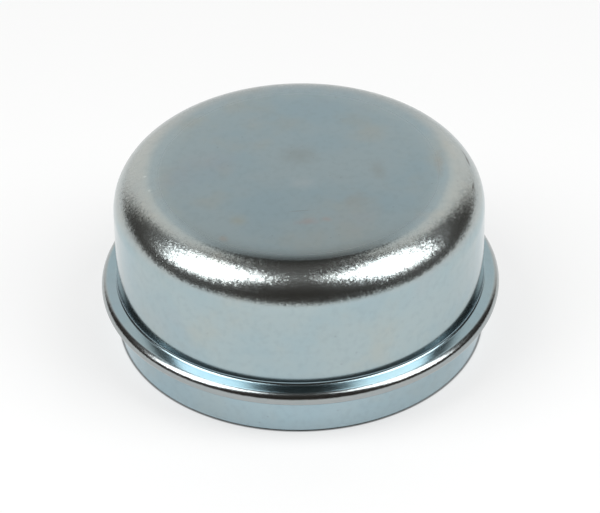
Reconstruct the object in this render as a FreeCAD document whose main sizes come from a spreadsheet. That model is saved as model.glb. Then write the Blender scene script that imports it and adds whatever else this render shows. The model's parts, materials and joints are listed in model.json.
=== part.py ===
import FreeCAD, Part

# Hub dust cap: one pressed steel cup with a folded flange, in millimetres.
#
# The cap stands on its open rim. The origin is on the axis at the rim, and +Z points to the closed crown.
# One sheet makes the whole cap: the crown and wall are drawn from a flat blank, the sheet is folded out and
# back on itself as the flange, and the skirt below it is pressed into the hub.

import math
import os

import Sketcher

# Driving dimensions
SIZES = [
    ("fit_diameter", 55.5),      # outside of the skirt, a press fit in the hub
    ("cap_height", 27.4),        # rim to the middle of the crown
    ("skirt_length", 6.4),       # rim to the seat under the flange
    ("wall_step", 0.1),          # the wall stands this far outside the skirt
    ("flange_land", 0.8),        # flat on the flange between its root and its fold
    ("sheet_thickness", 0.9),
    ("fold_gap", 0.2),           # slit left between the two layers of the flange
    ("corner_radius", 6.0),      # outside of the bend between wall and crown
    ("dome_radius", 800.0),      # the crown is very slightly domed
    ("root_radius", 0.6),        # hollow bend from the wall out to the flange
    ("seat_radius", 0.5),        # hollow bend from the flange down to the skirt
    ("lip_chamfer", 0.2),        # lead-in on the outside of the rim
]

# Where the outline of the section runs on smoothly from one piece to the next
SMOOTH_JOINTS = [
    ("dome start", "corner end"),
    ("corner start", "wall start"),
    ("wall end", "root start"),
    ("root end", "flange_face start"),
    ("flange_face end", "fold end"),
    ("fold start", "seat_face start"),
    ("seat_face end", "seat start"),
    ("seat end", "skirt start"),
    ("inner_skirt end", "inner_seat end"),
    ("inner_seat start", "slit_floor start"),
    ("slit_roof end", "inner_root end"),
    ("inner_root start", "inner_wall start"),
    ("inner_wall end", "inner_corner start"),
    ("inner_corner end", "inner_dome start"),
]
# Where it turns a sharp corner, and where two bends of the sheet have the same centre
SHARP_JOINTS = [
    ("skirt end", "lip start"),
    ("lip end", "rim start"),
    ("rim end", "inner_skirt start"),
    ("slit_floor end", "slit_end start"),
    ("slit_end end", "slit_roof start"),
    ("inner_dome end", "axis start"),
    ("axis end", "dome end"),
    ("inner_dome centre", "dome centre"),
    ("inner_corner centre", "corner centre"),
    ("inner_root centre", "root centre"),
    ("inner_seat centre", "seat centre"),
]
LEVEL = ["flange_face", "seat_face", "rim", "slit_floor", "slit_roof"]
UPRIGHT = ["wall", "skirt", "inner_skirt", "slit_end", "inner_wall", "axis"]

# The points of a line or arc, in the order in which a sketch numbers them
POINTS = ("edge", "start", "end", "centre")

doc = FreeCAD.newDocument("hub_dust_cap")


def make_sheet(sizes):
    """The spreadsheet that holds the driving dimensions, one alias a row."""
    sheet = doc.addObject("Spreadsheet::Sheet", "Sizes")
    for row, (name, value) in enumerate(sizes, start=1):
        sheet.set(f"A{row}", name)
        sheet.set(f"B{row}", str(value))
        sheet.setAlias(f"B{row}", name)
    doc.recompute()
    return sheet


def point(x, y):
    return FreeCAD.Vector(x, y, 0)


def line(start, end):
    return Part.LineSegment(start, end)


def arc(centre, radius, start_angle, end_angle):
    """An arc that runs anticlockwise."""
    circle = Part.Circle(centre, FreeCAD.Vector(0, 0, 1), radius)
    return Part.ArcOfCircle(circle, start_angle, end_angle)


def section_outline(sheet):
    """The sheet's section at its true size, as named lines and arcs; x is the radius and y the height."""
    right, up, left, down = 0, math.pi / 2, math.pi, 3 * math.pi / 2
    thickness, gap = sheet.sheet_thickness, sheet.fold_gap
    skirt_out = sheet.fit_diameter / 2
    wall_out = skirt_out + sheet.wall_step
    wall_in, skirt_in = wall_out - thickness, skirt_out - thickness

    # The two layers of the flange, with the slit between them
    seat_level = sheet.skirt_length
    slit_low = seat_level + thickness
    slit_high = slit_low + gap
    flange_top = slit_high + thickness

    # Centres of the bends
    root = point(wall_out + sheet.root_radius, flange_top + sheet.root_radius)
    fold = point(root.x + sheet.flange_land, slit_low + gap / 2)
    seat = point(skirt_out + sheet.seat_radius, seat_level - sheet.seat_radius)
    slit_deep = fold.x + gap / 2
    lip = point(skirt_out - sheet.lip_chamfer, sheet.lip_chamfer)

    # The corner touches the wall's line and, from inside, the dome
    dome = point(0, sheet.cap_height - sheet.dome_radius)
    corner_out = wall_out - sheet.corner_radius
    lean = math.acos(corner_out / (sheet.dome_radius - sheet.corner_radius))
    corner = point(corner_out, dome.y + corner_out * math.tan(lean))

    return {
        "dome": arc(dome, sheet.dome_radius, lean, up),
        "corner": arc(corner, sheet.corner_radius, right, lean),
        "wall": line(point(wall_out, corner.y), point(wall_out, root.y)),
        "root": arc(root, sheet.root_radius, left, down),
        "flange_face": line(point(root.x, flange_top), point(fold.x, flange_top)),
        "fold": arc(fold, thickness + gap / 2, down, up),
        "seat_face": line(point(fold.x, seat_level), point(seat.x, seat_level)),
        "seat": arc(seat, sheet.seat_radius, up, left),
        "skirt": line(point(skirt_out, seat.y), point(skirt_out, lip.y)),
        "lip": line(point(skirt_out, lip.y), point(lip.x, 0)),
        "rim": line(point(lip.x, 0), point(skirt_in, 0)),
        "inner_skirt": line(point(skirt_in, 0), point(skirt_in, seat.y)),
        "inner_seat": arc(seat, sheet.seat_radius + thickness, up, left),
        "slit_floor": line(point(seat.x, slit_low), point(slit_deep, slit_low)),
        "slit_end": line(point(slit_deep, slit_low), point(slit_deep, slit_high)),
        "slit_roof": line(point(slit_deep, slit_high), point(root.x, slit_high)),
        "inner_root": arc(root, sheet.root_radius + thickness, left, down),
        "inner_wall": line(point(wall_in, root.y), point(wall_in, corner.y)),
        "inner_corner": arc(corner, sheet.corner_radius - thickness, right, lean),
        "inner_dome": arc(dome, sheet.dome_radius - thickness, lean, up),
        "axis": line(point(0, sheet.cap_height - thickness), point(0, sheet.cap_height)),
    }


def draw_section(body, sheet):
    """The section as a sketch on the body's XZ plane, each size bound to its cell."""
    sketch = body.newObject("Sketcher::SketchObject", "section")
    plane = next(f for f in body.Origin.OriginFeatures if f.Role == "XZ_Plane")
    sketch.AttachmentSupport = [(plane, "")]
    sketch.MapMode = "FlatFace"

    outline = section_outline(sheet)
    number = {name: sketch.addGeometry(shape, False) for name, shape in outline.items()}
    x_axis, y_axis = -1, -2

    def constrain(*words):
        return sketch.addConstraint(Sketcher.Constraint(*words))

    def at(words):
        """A place such as "wall end", as the two numbers that a constraint takes."""
        name, place = words.split()
        return number[name], POINTS.index(place)

    for first, second in SMOOTH_JOINTS:
        constrain("Tangent", *at(first), *at(second))
    for first, second in SHARP_JOINTS:
        constrain("Coincident", *at(first), *at(second))
    for name in LEVEL:
        constrain("Horizontal", number[name])
    for name in UPRIGHT:
        constrain("Vertical", number[name])
    constrain("PointOnObject", *at("dome centre"), y_axis)
    constrain("PointOnObject", *at("dome end"), y_axis)
    constrain("PointOnObject", *at("rim start"), x_axis)

    def follow(name, expression, *words):
        """A named dimension that starts at its present value and follows an expression of the cells."""
        sketch.renameConstraint(constrain(*words), name)
        sketch.setExpression(f"Constraints.{name}", expression)

    def radius(name, expression):
        follow(f"{name}_bend", expression, "Radius", number[name], outline[name].Radius)

    def apart(name, direction, first, second, expression):
        start, end = (sketch.getPoint(*at(place)) for place in (first, second))
        distance = end.x - start.x if direction == "DistanceX" else end.y - start.y
        follow(name, expression, direction, *at(first), *at(second), distance)

    radius("dome", "Sizes.dome_radius")
    radius("corner", "Sizes.corner_radius")
    radius("root", "Sizes.root_radius")
    radius("seat", "Sizes.seat_radius")
    radius("fold", "Sizes.sheet_thickness + Sizes.fold_gap / 2")
    apart("skirt_out", "DistanceX", "axis end", "skirt start", "Sizes.fit_diameter / 2")
    apart("wall_out", "DistanceX", "skirt start", "wall start", "Sizes.wall_step")
    apart("land", "DistanceX", "flange_face start", "flange_face end", "Sizes.flange_land")
    apart("height", "DistanceY", "rim start", "axis end", "Sizes.cap_height")
    apart("seat_level", "DistanceY", "rim start", "seat_face end", "Sizes.skirt_length")
    apart("lower_layer", "DistanceY", "seat_face end", "slit_floor start", "Sizes.sheet_thickness")
    apart("slit", "DistanceY", "slit_end start", "slit_end end", "Sizes.fold_gap")
    apart("slit_depth", "DistanceX", "fold centre", "slit_end start", "Sizes.fold_gap / 2")
    apart("lip_rise", "DistanceY", "lip end", "lip start", "Sizes.lip_chamfer")
    apart("lip_run", "DistanceX", "lip end", "lip start", "Sizes.lip_chamfer")
    doc.recompute()
    return sketch


def make_cap(sheet):
    """The cap's one solid: the section turned once round the axis."""
    body = doc.addObject("PartDesign::Body", "dust_cap")
    body.Label = "dust_cap"
    sketch = draw_section(body, sheet)
    turned = body.newObject("PartDesign::Revolution", "turned_section")
    turned.Profile = sketch
    turned.ReferenceAxis = (sketch, ["V_Axis"])
    turned.Angle = 360.0
    doc.recompute()
    return body


def check(sub_parts):
    """Stops if an object failed, or if a sub-part isn't one whole solid."""
    for item in doc.Objects:
        if {"Invalid", "Error"} & set(item.State):
            raise RuntimeError(f"{item.Label} failed: {item.State}")
    for sub_part in sub_parts:
        shape = sub_part.Shape
        if shape.isNull() or not shape.isValid() or len(shape.Solids) != 1:
            raise RuntimeError(f"{sub_part.Label} is not one valid solid")


def main():
    sheet = make_sheet(SIZES)
    sub_parts = [make_cap(sheet)]
    check(sub_parts)
    os.makedirs("parts", exist_ok=True)
    for sub_part in sub_parts:
        sub_part.Shape.exportStep(f"parts/{sub_part.Label}.step")


main()
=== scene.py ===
import json
import math

import bpy
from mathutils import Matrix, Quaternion, Vector


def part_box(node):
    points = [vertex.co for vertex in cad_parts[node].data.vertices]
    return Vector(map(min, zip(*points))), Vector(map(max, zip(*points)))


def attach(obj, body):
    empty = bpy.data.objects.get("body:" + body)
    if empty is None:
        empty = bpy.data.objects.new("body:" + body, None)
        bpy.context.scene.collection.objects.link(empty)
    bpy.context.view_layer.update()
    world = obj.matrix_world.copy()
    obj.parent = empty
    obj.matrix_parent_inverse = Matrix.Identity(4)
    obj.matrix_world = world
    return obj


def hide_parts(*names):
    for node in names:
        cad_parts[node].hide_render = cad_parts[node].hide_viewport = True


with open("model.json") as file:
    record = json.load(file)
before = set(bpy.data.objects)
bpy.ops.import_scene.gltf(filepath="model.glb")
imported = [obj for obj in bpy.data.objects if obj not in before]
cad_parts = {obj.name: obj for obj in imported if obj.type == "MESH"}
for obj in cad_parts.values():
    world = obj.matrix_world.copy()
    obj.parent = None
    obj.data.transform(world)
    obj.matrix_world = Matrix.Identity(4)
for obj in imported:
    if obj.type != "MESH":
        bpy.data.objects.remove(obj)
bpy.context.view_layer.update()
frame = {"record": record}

MM = 0.001

# The cap's section, in millimetres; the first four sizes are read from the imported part
MOUNTS = {mount["name"]: mount for mount in frame["record"]["mounts"]}
CAP_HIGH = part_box("dust_cap")[1] / MM
CAP_HEIGHT = CAP_HIGH.z
FLANGE_OUT = CAP_HIGH.x
SKIRT_OUT = MOUNTS["press_skirt"]["dims"]["r_mm"]
SEAT_LEVEL = MOUNTS["flange_seat"]["pos_m"][2] / MM
SHEET = 0.9
FOLD_GAP = 0.2
WALL_STEP = 0.1
CORNER_RADIUS = 6.0
DOME_RADIUS = 800.0
ROOT_RADIUS = 0.4
SEAT_RADIUS = 0.5
LIP_CHAMFER = 0.2

# The flange's upper face slopes down from the wall to its fold by this much
FACE_FALL = 0.45

SKIRT_IN = SKIRT_OUT - SHEET
WALL_OUT = SKIRT_OUT + WALL_STEP
WALL_IN = WALL_OUT - SHEET
SLIT_LOW = SEAT_LEVEL + SHEET
SLIT_HIGH = SLIT_LOW + FOLD_GAP
SLIT_DEEP = FLANGE_OUT - SHEET
FLANGE_TOP = SLIT_HIGH + SHEET
FOLD_RADIUS = SHEET + FOLD_GAP / 2
CORNER_IN = WALL_OUT - CORNER_RADIUS
CORNER_LOW = CAP_HEIGHT - CORNER_RADIUS

# Points closer than this many metres are one, edges under this many degrees are smooth, and a normal leans
# some way if it goes at least this far along it
TOUCHING = 1e-6
SMOOTH_ANGLE = 30
SLIGHT = 0.05

# Marks on the crown and shoulder: x, y, length and width in millimetres, turn in degrees, colour and
# strength; the size in millimetres of the rags at their edges
MARKS = [
    (0.1, 3.8, 3.4, 3.2, 0, "#8E8D86", 0.3),       # painted shade on the far side of a shallow dimple, a little behind the middle
    (0.8, -3.4, 2.9, 1.9, 0, "#C3CACA", 0.3),      # painted highlight on the near side of that dimple, in front of the middle
    (1.2, -13.0, 2.2, 1.0, 8, "#B99E98", 0.35),     # rust-pink scuffs near the front
    (3.9, -12.4, 1.0, 0.7, -10, "#B99E98", 0.35),
    (0.2, -10.3, 2.4, 0.16, 6, "#8C8582", 0.4),
    (-8.9, -12.3, 1.5, 1.6, 20, "#B4AC93", 0.3),    # straw spots
    (-11.0, -16.6, 0.9, 0.9, 0, "#B8A593", 0.35),
    (11.8, -0.2, 1.6, 3.2, 10, "#948F87", 0.25),
    (8.5, -7.6, 2.0, 2.6, -30, "#A79F94", 0.25),
    (8.8, 12.9, 3.6, 2.4, -35, "#ADA898", 0.25),
    (-16.2, 13.4, 3.4, 2.0, 38, "#ADA898", 0.25),
    (21.0, 1.4, 0.9, 4.0, 0, "#A89C8C", 0.3),
    (25.4, 4.2, 0.22, 1.7, 12, "#4F4C4A", 0.8),     # scratches on the right of the shoulder
    (25.9, -2.2, 0.2, 1.4, -8, "#4F4C4A", 0.8),
    (24.9, 5.9, 0.16, 0.9, 24, "#4F4C4A", 0.7),
    (-22.9, -0.5, 0.35, 0.3, 0, "#DCE3E3", 0.35),    # bright nicks on the left
    (-22.1, -4.2, 0.3, 0.4, 0, "#DCE3E3", 0.35),
]
MARK_RAGS = 1.3

# How rough the plate is, and how far the crown leans outwards at its edge: 0.06 is about 3 degrees
ROUGH_WALL = 0.12
ROUGH_CROWN = 0.3
ROUGH_FLANGE = 0.2
ROUGH_SHOULDER = 0.24
CROWN_LEAN = 0.06

# The picture: 600 by 513 pixels, seen from in front and above; angles in degrees and lengths in millimetres
PICTURE_WIDTH = 600
CAMERA_ELEVATION = 37.77
CAMERA_ROLL = -0.98
CAMERA_DISTANCE = 504.25
CAMERA_AIM_HEIGHT = 11.3
FOCAL_PIXELS = 3277
SENSOR_WIDTH = 36.0

# Two softboxes, one each side and mirrored: the right one's place, the point on the floor that it faces,
# its turn about that line in degrees, its two sides in metres, and its watts
SOFTBOX_PLACE = Vector((0.43, -0.16, 0.54))
SOFTBOX_AIM = Vector((0.1, -0.41, 0.0))
SOFTBOX_ROLL = -50
SOFTBOX_SIDES = (0.47, 0.57)
SOFTBOX_POWER = 3.7

# The floor: its side in metres, how luminous it is, and the millimetres from it up to the rim, so that the
# two faces don't coincide
FLOOR_SIDE = 6.0
FLOOR_GLOW = 0.6
FLOOR_GAP = 0.02

# The room, by directions: sideways, 1 is towards the far wall and -1 towards the camera; upwards, 1 is
# overhead. Each pair is a map range's inputs: where a part of the room sets in, and where it is full.
FAR_WALL_SIDES = {1: 0.58, 2: 0.82}
FAR_WALL_TOP = {1: 0.74, 2: 0.64}
FAR_WALL_ENDS = {1: 0.998, 2: 0.945}
FAR_WALL_RISE = 0.18
CARD_SIDES = {1: -0.3, 2: -0.8}
CARD_TOP = {1: 0.12, 2: 0.06}

# The setting of a map range that eases in and out
SMOOTH = {"interpolation_type": "SMOOTHSTEP"}


def linear(code):
    """An sRGB hex colour as linear red, green, blue and alpha."""
    channels = [int(code[i : i + 2], 16) / 255 for i in (1, 3, 5)]
    return [c / 12.92 if c <= 0.04045 else ((c + 0.055) / 1.055) ** 2.4 for c in channels] + [1.0]


def feed(tree, node, inputs):
    """Sets a node's inputs; each is a value, or the socket or node that it is linked from."""
    for key, value in inputs.items():
        if isinstance(value, bpy.types.Node):
            value = next(socket for socket in value.outputs if socket.enabled)
        if isinstance(value, bpy.types.NodeSocket):
            tree.links.new(value, node.inputs[key])
        else:
            node.inputs[key].default_value = value


def add(tree, kind, inputs=None, **settings):
    """Adds a node with its settings and feeds its inputs."""
    node = tree.nodes.new(kind)
    for name, value in settings.items():
        setattr(node, name, value)
    feed(tree, node, inputs or {})
    return node


# The pressed cap


def on_dome(radius, dome_radius, top):
    """A point of the slightly domed crown."""
    return radius, top - dome_radius + math.sqrt(dome_radius**2 - radius**2)


def dome_points(dome_radius, top, rings=4):
    """Points of the crown from the axis out to the bend of the shoulder."""
    return [on_dome(CORNER_IN * i / rings, dome_radius, top) for i in range(rings)]


def shoulder_corner(dome_radius, top, wall):
    """Where the crown's slope at the shoulder meets the wall, and how far from there the bend begins."""
    height = on_dome(CORNER_IN, dome_radius, top)[1]
    lean = math.asin(CORNER_IN / dome_radius)
    bend = wall - CORNER_IN
    return (wall, height - bend * math.tan(lean)), bend * math.tan((math.pi / 2 - lean) / 2)


def section():
    """The sheet's section as sharp corners, and its bends: corner, length off each side and segments."""
    outer_corner, outer_bend = shoulder_corner(DOME_RADIUS, CAP_HEIGHT, WALL_OUT)
    inner_corner, inner_bend = shoulder_corner(DOME_RADIUS - SHEET, CAP_HEIGHT - SHEET, WALL_IN)
    root = (WALL_OUT, FLANGE_TOP + FACE_FALL)
    fold_top, fold_low = (FLANGE_OUT, FLANGE_TOP), (FLANGE_OUT, SEAT_LEVEL)
    seat, inner_seat, inner_root = (SKIRT_OUT, SEAT_LEVEL), (SKIRT_IN, SLIT_LOW), (WALL_IN, SLIT_HIGH)
    lip, rim = (SKIRT_OUT, 0), (SKIRT_IN, 0)
    slit = [(SLIT_DEEP, SLIT_LOW), (SLIT_DEEP, SLIT_HIGH)]
    corners = [
        *dome_points(DOME_RADIUS, CAP_HEIGHT),
        outer_corner,
        root,
        fold_top,
        fold_low,
        seat,
        lip,
        rim,
        inner_seat,
        *slit,
        inner_root,
        inner_corner,
        *reversed(dome_points(DOME_RADIUS - SHEET, CAP_HEIGHT - SHEET)),
    ]
    bends = [
        (outer_corner, outer_bend, 32),
        (root, ROOT_RADIUS, 12),
        (fold_top, FOLD_RADIUS, 16),
        (fold_low, FOLD_RADIUS, 16),
        (seat, SEAT_RADIUS, 8),
        (lip, LIP_CHAMFER, 1),
        (inner_seat, SEAT_RADIUS + SHEET, 12),
        (inner_root, ROOT_RADIUS + SHEET, 12),
        (inner_corner, inner_bend, 24),
    ]
    return corners, bends


def at_section(point):
    """A point of the section on the XZ plane, in metres."""
    return Vector((point[0], 0, point[1])) * MM


def select_vertices(mesh_object, test):
    """Selects the vertices whose place passes the test; the object is in edit mode before and after."""
    bpy.ops.mesh.select_all(action="DESELECT")
    bpy.ops.object.mode_set(mode="OBJECT")
    for vertex in mesh_object.data.vertices:
        vertex.select = test(vertex.co)
    bpy.ops.object.mode_set(mode="EDIT")


def is_inside(face):
    """Whether a face looks into the cup: it faces the axis, or it faces down above the flange's slit."""
    middle, normal = face.center, face.normal
    outward = Vector((middle.x, middle.y, 0)).normalized()
    faces_axis, faces_down = normal.dot(outward) < -SLIGHT, normal.z < -SLIGHT
    return faces_axis or (faces_down and middle.z > SLIT_HIGH * MM)


def model_cap(outside, inside, turns=256):
    """The cap as it is drawn by hand: a chain of corners, each bend rounded, then spun about the axis."""
    corners, bends = section()
    bpy.ops.object.select_all(action="DESELECT")
    bpy.ops.mesh.primitive_plane_add(size=SHEET * MM)
    cap = bpy.context.object
    cap.name = cap.data.name = "pressed_cap"

    bpy.ops.object.mode_set(mode="EDIT")
    bpy.ops.mesh.merge(type="CENTER")
    bpy.ops.transform.translate(value=at_section(corners[0]))
    for start, end in zip(corners, corners[1:]):
        step = at_section(end) - at_section(start)
        bpy.ops.mesh.extrude_region_move(TRANSFORM_OT_translate={"value": step})

    bpy.ops.mesh.select_mode(type="VERT")
    for corner, length, segments in bends:
        place = at_section(corner)
        select_vertices(cap, lambda co: (co - place).length < TOUCHING)
        bpy.ops.mesh.bevel(
            affect="VERTICES", offset=length * MM, segments=segments, clamp_overlap=False
        )

    bpy.ops.mesh.select_all(action="SELECT")
    bpy.ops.mesh.spin(steps=turns, angle=2 * math.pi, center=(0, 0, 0), axis=(0, 0, 1))
    bpy.ops.mesh.select_all(action="SELECT")
    bpy.ops.mesh.remove_doubles(threshold=TOUCHING)
    bpy.ops.mesh.normals_make_consistent(inside=False)
    bpy.ops.object.mode_set(mode="OBJECT")

    cap.data.materials.append(outside)
    cap.data.materials.append(inside)
    for face in cap.data.polygons:
        face.material_index = int(is_inside(face))

    bpy.ops.object.shade_smooth_by_angle(angle=math.radians(SMOOTH_ANGLE))
    flats = cap.modifiers.new("flat_faces_stay_flat", "WEIGHTED_NORMAL")
    flats.keep_sharp = True
    flats.weight = 100
    bpy.ops.object.modifier_apply(modifier=flats.name)
    return cap


# Finishes


def places_on_cap(tree):
    """A point's place, its height, its distance from the axis and the way out from the axis."""
    place = add(tree, "ShaderNodeTexCoord").outputs["Object"]
    height = add(tree, "ShaderNodeSeparateXYZ", {0: place}).outputs["Z"]
    level = add(tree, "ShaderNodeVectorMath", {0: place, 1: (1, 1, 0)}, operation="MULTIPLY")
    radius = add(tree, "ShaderNodeVectorMath", {0: level}, operation="LENGTH").outputs["Value"]
    return place, height, radius, add(tree, "ShaderNodeVectorMath", {0: level}, operation="NORMALIZE")


def zone(tree, *limits):
    """Where all the limits hold; each is a length and the millimetres between which it sets in."""
    inside = 1.0
    for length, start, end in limits:
        step = add(tree, "ShaderNodeMapRange", {"Value": length, 1: start * MM, 2: end * MM}, **SMOOTH)
        inside = add(tree, "ShaderNodeMath", {0: step, 1: inside}, operation="MULTIPLY")
    return inside


def patches(tree, place, size, low, high, shift):
    """Soft patches of a size in millimetres, cut between two levels of a noise."""
    moved = add(tree, "ShaderNodeMapping", {0: place, "Location": (shift, 2 * shift, 3 * shift)})
    noise = add(tree, "ShaderNodeTexNoise", {"Vector": moved, "Scale": 1 / (size * MM), "Detail": 4})
    return add(tree, "ShaderNodeMapRange", {"Value": noise, 1: low, 2: high}, **SMOOTH)


def tinted(tree, colour, tints):
    """A colour with tints laid over it in turn; each is a hex colour, where it lies and its strength."""
    for code, where, strength in tints:
        amount = add(tree, "ShaderNodeMath", {0: where, 1: strength}, operation="MULTIPLY")
        colour = add(tree, "ShaderNodeMix", {0: amount, 6: colour, 7: linear(code)}, data_type="RGBA")
    return colour


def mark(tree, place, x, y, length, width, turn):
    """An oval mark, broken up at its edge: worn spots and stains, and the painted shade and highlight of a
    dimple.
    """
    inputs = {
        0: place,
        "Location": (x * MM, y * MM, CAP_HEIGHT * MM),
        "Rotation": (0, 0, math.radians(turn)),
        "Scale": (length * MM, width * MM, CAP_HEIGHT * MM),
    }
    local = add(tree, "ShaderNodeMapping", inputs, vector_type="TEXTURE")
    reach = add(tree, "ShaderNodeVectorMath", {0: local}, operation="LENGTH")
    ragged = add(tree, "ShaderNodeTexNoise", {"Vector": place, "Scale": 1 / (MARK_RAGS * MM), "Detail": 3})
    # The noise is about 0.5, so a mark fades from its middle to a little beyond its edge
    edge = add(tree, "ShaderNodeMath", {0: reach, 1: ragged}, operation="ADD")
    return add(tree, "ShaderNodeMapRange", {"Value": edge, 1: 1.7, 2: 0.5}, **SMOOTH)


def grains(tree, place, size, usual, most):
    """A lean for each grain, of a size in millimetres: the usual lean, and up to the most for a few."""
    cells = add(tree, "ShaderNodeTexVoronoi", {"Vector": place, "Scale": 1 / (size * MM)}).outputs["Color"]
    inputs = {0: cells, 1: (2, 2, 2), 2: (-1, -1, -1)}
    lean = add(tree, "ShaderNodeVectorMath", inputs, operation="MULTIPLY_ADD")
    square = add(tree, "ShaderNodeVectorMath", {0: lean, 1: lean}, operation="MULTIPLY")
    fourth = add(tree, "ShaderNodeVectorMath", {0: square, 1: square}, operation="MULTIPLY")
    inputs = {0: fourth, 1: [most - usual] * 3, 2: [usual] * 3}
    amount = add(tree, "ShaderNodeVectorMath", inputs, operation="MULTIPLY_ADD")
    return add(tree, "ShaderNodeVectorMath", {0: lean, 1: amount}, operation="MULTIPLY")


def leaning(tree, normal, leans):
    """A normal that leans; each lean is a direction and how far it goes."""
    for way, amount in leans:
        lean = add(tree, "ShaderNodeVectorMath", {0: way, "Scale": amount}, operation="SCALE")
        normal = add(tree, "ShaderNodeVectorMath", {0: normal, 1: lean}, operation="ADD")
    return add(tree, "ShaderNodeVectorMath", {0: normal}, operation="NORMALIZE")


def zinc_plate():
    """Bright zinc on drawn sheet steel, with a clear blue passivate.

    The plate is a pale mirror with faint clouds of blue, straw and pink. Where the sheet was stretched over
    the shoulder and the fold it has a fine grain, which breaks reflections into bright and dark specks. One
    slight curve of about 0.1 mm shows in its reflections: the crown falls off towards its edge.
    """
    material = bpy.data.materials.new("zinc_plate_on_drawn_steel")
    material.use_nodes = True
    tree = material.node_tree
    place, height, radius, outward = places_on_cap(tree)

    shoulder = zone(
        tree,
        (radius, CORNER_IN - 0.4, CORNER_IN + 2.0),
        (height, CORNER_LOW + 0.8, CORNER_LOW + 2.6),
    )
    fold = zone(tree, (radius, FLANGE_OUT - 1.0, FLANGE_OUT - 0.4))
    crown = zone(
        tree,
        (height, CAP_HEIGHT - 0.8, CAP_HEIGHT - 0.5),
        (radius, CORNER_IN + 0.5, CORNER_IN - 1.5),
    )
    crown_edge = zone(
        tree,
        (radius, CORNER_IN - 3.5, CORNER_IN),
        (radius, CORNER_IN + 2.4, CORNER_IN + 0.2),
    )
    flange = zone(
        tree,
        (height, FLANGE_TOP + 2.2, FLANGE_TOP + 0.6),
        (height, SEAT_LEVEL - 0.1, SEAT_LEVEL),
    )
    skirt = zone(tree, (height, SEAT_LEVEL + 0.4, SEAT_LEVEL))

    # Dark pits in the plate, about 2.4 mm apart
    specks = add(tree, "ShaderNodeTexVoronoi", {"Vector": place, "Scale": 1 / (2.4 * MM)})
    specks = add(tree, "ShaderNodeMapRange", {"Value": specks, 1: 0.07, 2: 0.03})

    tints = [
        ("#9BB3BC", patches(tree, place, 12, 0.40, 0.66, 0.11), 0.5),
        ("#B7B1A0", patches(tree, place, 8, 0.50, 0.74, 0.23), 0.25),
        ("#AFA4AB", patches(tree, place, 15, 0.54, 0.76, 0.37), 0.15),
        # Pale straw all round the crown's edge: a painted reflection of the pale ring that the edge mirrors
        ("#BEB8AC", crown_edge, 0.08),
        ("#BDB8B0", shoulder, 0.4),
        # Darker blue over the flange and the foot of the wall: painted shade in the crease where they meet
        ("#83A0AE", flange, 0.45),
        ("#AFA69E", fold, 0.5),
        ("#9DB7C4", skirt, 0.4),
        ("#8C9A9D", patches(tree, place, 1.1, 0.45, 0.7, 0.51), 0.13),
        ("#77797A", specks, 0.3),
    ]
    tints += [(code, mark(tree, place, *oval), strength) for *oval, code, strength in MARKS]
    colour = tinted(tree, linear("#A9B8BB"), tints)

    # Grains 0.17 to 0.3 mm across, coarser than the real ones so that they show: most lean a degree and a
    # few lean three. Away from the shoulder and fold they lean a fiftieth as far.
    grain = add(tree, "ShaderNodeMapRange", {"Value": shoulder, 3: 0.02, 4: 1.0})
    leans = [
        (grains(tree, place, 0.17, 0.02, 0.06), grain),
        (grains(tree, place, 0.3, 0.0, 0.05), shoulder),
        (grains(tree, place, 0.3, 0.01, 0.03), fold),
        (outward, add(tree, "ShaderNodeMath", {0: crown_edge, 1: CROWN_LEAN}, operation="MULTIPLY")),
    ]
    normal = leaning(tree, add(tree, "ShaderNodeNewGeometry").outputs["Normal"], leans)

    rough = add(tree, "ShaderNodeMapRange", {"Value": crown, 3: ROUGH_WALL, 4: ROUGH_CROWN})
    rough = add(tree, "ShaderNodeMix", {0: flange, 2: rough, 3: ROUGH_FLANGE})
    rough = add(tree, "ShaderNodeMix", {0: shoulder, 2: rough, 3: ROUGH_SHOULDER})
    shader = tree.nodes["Principled BSDF"]
    feed(tree, shader, {"Base Color": colour, "Roughness": rough, "Normal": normal, "Metallic": 1.0})
    return material


def zinc_plate_inside():
    """Thin dull zinc inside the cup, where little plate is thrown.

    It is a grey satin metal, with upright draw lines on the wall and a mottle of darker patches.
    """
    material = bpy.data.materials.new("dull_zinc_inside_drawn_cup")
    material.use_nodes = True
    tree = material.node_tree
    place = places_on_cap(tree)[0]
    tints = [
        ("#7C8384", patches(tree, place, 9, 0.45, 0.7, 0.17), 0.7),
        ("#A39D8E", patches(tree, place, 14, 0.5, 0.72, 0.29), 0.5),
    ]
    colour = tinted(tree, linear("#98A2A4"), tints)

    # Draw lines 0.3 mm wide, 0.02 mm deep and about 30 times as long as they are wide
    drawn = add(tree, "ShaderNodeMapping", {0: place, "Scale": (1, 1, 0.03)})
    lines = add(tree, "ShaderNodeTexNoise", {"Vector": drawn, "Scale": 1 / (0.3 * MM), "Detail": 3})
    bump = add(tree, "ShaderNodeBump", {"Height": lines, "Strength": 0.5, "Distance": 0.02 * MM})
    rough = add(tree, "ShaderNodeMapRange", {"Value": lines, 3: 0.3, 4: 0.5})
    shader = tree.nodes["Principled BSDF"]
    feed(tree, shader, {"Base Color": colour, "Roughness": rough, "Normal": bump, "Metallic": 1.0})
    return material


# The studio


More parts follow.
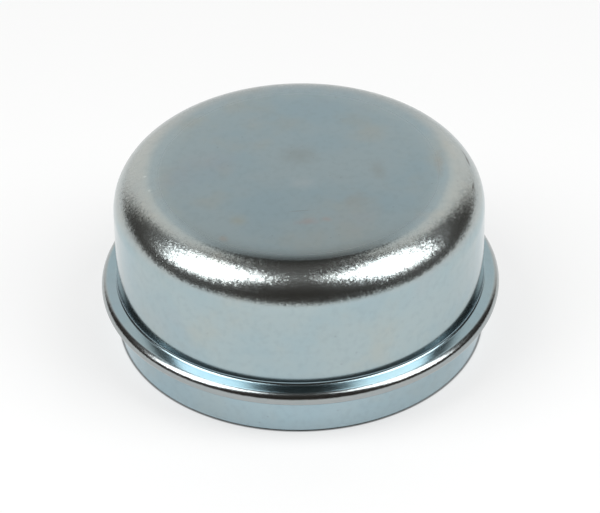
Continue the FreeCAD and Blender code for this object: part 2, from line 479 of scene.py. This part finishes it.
def pale_floor():
    """A plain pale floor, lit and a little luminous, which the metal mirrors.

    Its glow is taken out in a thin ring under and around the rim, as a painted contact shadow, and from
    below it lets the view through.
    """
    bpy.ops.object.select_all(action="DESELECT")
    bpy.ops.mesh.primitive_plane_add(size=FLOOR_SIDE, location=(0, 0, -FLOOR_GAP * MM))
    floor = bpy.context.object
    floor.name = "floor"
    material = bpy.data.materials.new("matt_white_board")
    material.use_nodes = True
    tree = material.node_tree
    tree.nodes.remove(tree.nodes["Principled BSDF"])
    rays = add(tree, "ShaderNodeLightPath").outputs
    seen = rays["Is Camera Ray"]
    for ray in ("Is Glossy Ray", "Is Transmission Ray"):
        seen = add(tree, "ShaderNodeMath", {0: seen, 1: rays[ray]}, operation="MAXIMUM")
    radius = places_on_cap(tree)[2]
    # The glow fades out in a thin ring under and just around the rim: a painted contact shadow
    outside = zone(tree, (radius, SKIRT_OUT, SKIRT_OUT + 0.3))
    inside = zone(tree, (radius, SKIRT_IN, SKIRT_IN - 1.0))
    outside_painted_rim_shadow = add(tree, "ShaderNodeMath", {0: outside, 1: inside}, operation="MAXIMUM")
    glow = add(tree, "ShaderNodeMath", {0: seen, 1: FLOOR_GLOW}, operation="MULTIPLY")
    glow = add(tree, "ShaderNodeMath", {0: glow, 1: outside_painted_rim_shadow}, operation="MULTIPLY")
    matt = add(tree, "ShaderNodeBsdfDiffuse", {"Color": linear("#A4A5A5")})
    light = add(tree, "ShaderNodeEmission", {"Color": linear("#FFFFFF"), "Strength": glow})
    board = add(tree, "ShaderNodeAddShader", {0: matt, 1: light})
    back = add(tree, "ShaderNodeNewGeometry").outputs["Backfacing"]
    clear = add(tree, "ShaderNodeBsdfTransparent")
    surface = add(tree, "ShaderNodeMixShader", {0: back, 1: board, 2: clear})
    feed(tree, tree.nodes["Material Output"], {"Surface": surface})
    floor.data.materials.append(material)


def softbox(name, side):
    """A wide soft lamp over the table, on the right for side 1 and on the left for side -1."""
    lamp = bpy.data.lights.new(name, "AREA")
    lamp.shape = "RECTANGLE"
    lamp.size, lamp.size_y = SOFTBOX_SIDES
    lamp.energy = SOFTBOX_POWER
    holder = bpy.data.objects.new(name, lamp)
    bpy.context.scene.collection.objects.link(holder)
    mirrored = Vector((side, 1, 1))
    holder.location = SOFTBOX_PLACE * mirrored
    back = (SOFTBOX_PLACE - SOFTBOX_AIM) * mirrored
    turn = back.to_track_quat("Z", "Y") @ Quaternion((0, 0, 1), math.radians(side * SOFTBOX_ROLL))
    holder.rotation_euler = turn.to_euler()


def studio_room():
    """A dim warm room with a pale wall on the far side, higher at its ends than in its middle.

    A low pale card stands in front, on the camera's side.
    """
    world = bpy.data.worlds.new("studio")
    world.use_nodes = True
    bpy.context.scene.world = world
    tree = world.node_tree
    way = add(tree, "ShaderNodeTexCoord").outputs["Generated"]
    up = add(tree, "ShaderNodeSeparateXYZ", {0: way}).outputs["Z"]
    level = add(tree, "ShaderNodeVectorMath", {0: way, 1: (1, 1, 0)}, operation="MULTIPLY")
    level = add(tree, "ShaderNodeVectorMath", {0: level}, operation="NORMALIZE")
    away = add(tree, "ShaderNodeSeparateXYZ", {0: level}).outputs["Y"]

    ends = add(tree, "ShaderNodeMapRange", {"Value": away, **FAR_WALL_ENDS})
    rise = add(tree, "ShaderNodeMath", {0: ends, 1: FAR_WALL_RISE}, operation="MULTIPLY")
    above = add(tree, "ShaderNodeMath", {0: up, 1: rise}, operation="SUBTRACT")
    below = add(tree, "ShaderNodeMapRange", {"Value": above, **FAR_WALL_TOP}, **SMOOTH)
    behind = add(tree, "ShaderNodeMapRange", {"Value": away, **FAR_WALL_SIDES}, **SMOOTH)
    wall = add(tree, "ShaderNodeMath", {0: behind, 1: below}, operation="MULTIPLY")
    foot = add(tree, "ShaderNodeMapRange", {"Value": up, **CARD_TOP}, **SMOOTH)
    front = add(tree, "ShaderNodeMapRange", {"Value": away, **CARD_SIDES}, **SMOOTH)
    card = add(tree, "ShaderNodeMath", {0: foot, 1: front}, operation="MULTIPLY")

    middle, end = linear("#DDE0E2"), linear("#FBF8F4")
    dark, white_card = linear("#35302C"), linear("#F0EFED")
    pale = add(tree, "ShaderNodeMix", {0: ends, 6: middle, 7: end}, data_type="RGBA")
    dim = add(tree, "ShaderNodeMix", {0: card, 6: dark, 7: white_card}, data_type="RGBA")
    colour = add(tree, "ShaderNodeMix", {0: wall, 6: dim, 7: pale}, data_type="RGBA")
    feed(tree, tree.nodes["Background"], {"Color": colour})


def picture_camera():
    """The camera at the picture's angle, aimed a little up the axis."""
    camera = bpy.data.cameras.new("picture")
    camera.sensor_width = SENSOR_WIDTH
    camera.lens = FOCAL_PIXELS / PICTURE_WIDTH * SENSOR_WIDTH
    camera.clip_start = 0.01
    holder = bpy.data.objects.new("picture", camera)
    bpy.context.scene.collection.objects.link(holder)
    elevation = math.radians(CAMERA_ELEVATION)
    holder.location = Vector((0, -math.cos(elevation), math.sin(elevation))) * CAMERA_DISTANCE * MM
    aim = Vector((0, 0, CAMERA_AIM_HEIGHT * MM)) - holder.location
    turn = aim.to_track_quat("-Z", "Y") @ Quaternion((0, 0, 1), math.radians(CAMERA_ROLL))
    holder.rotation_euler = turn.to_euler()
    bpy.context.scene.camera = holder


cap = model_cap(zinc_plate(), zinc_plate_inside())
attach(cap, "root")
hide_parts("dust_cap")

pale_floor()
studio_room()
softbox("softbox_left", -1)
softbox("softbox_right", 1)
picture_camera()
bpy.context.scene.view_settings.view_transform = "Standard"
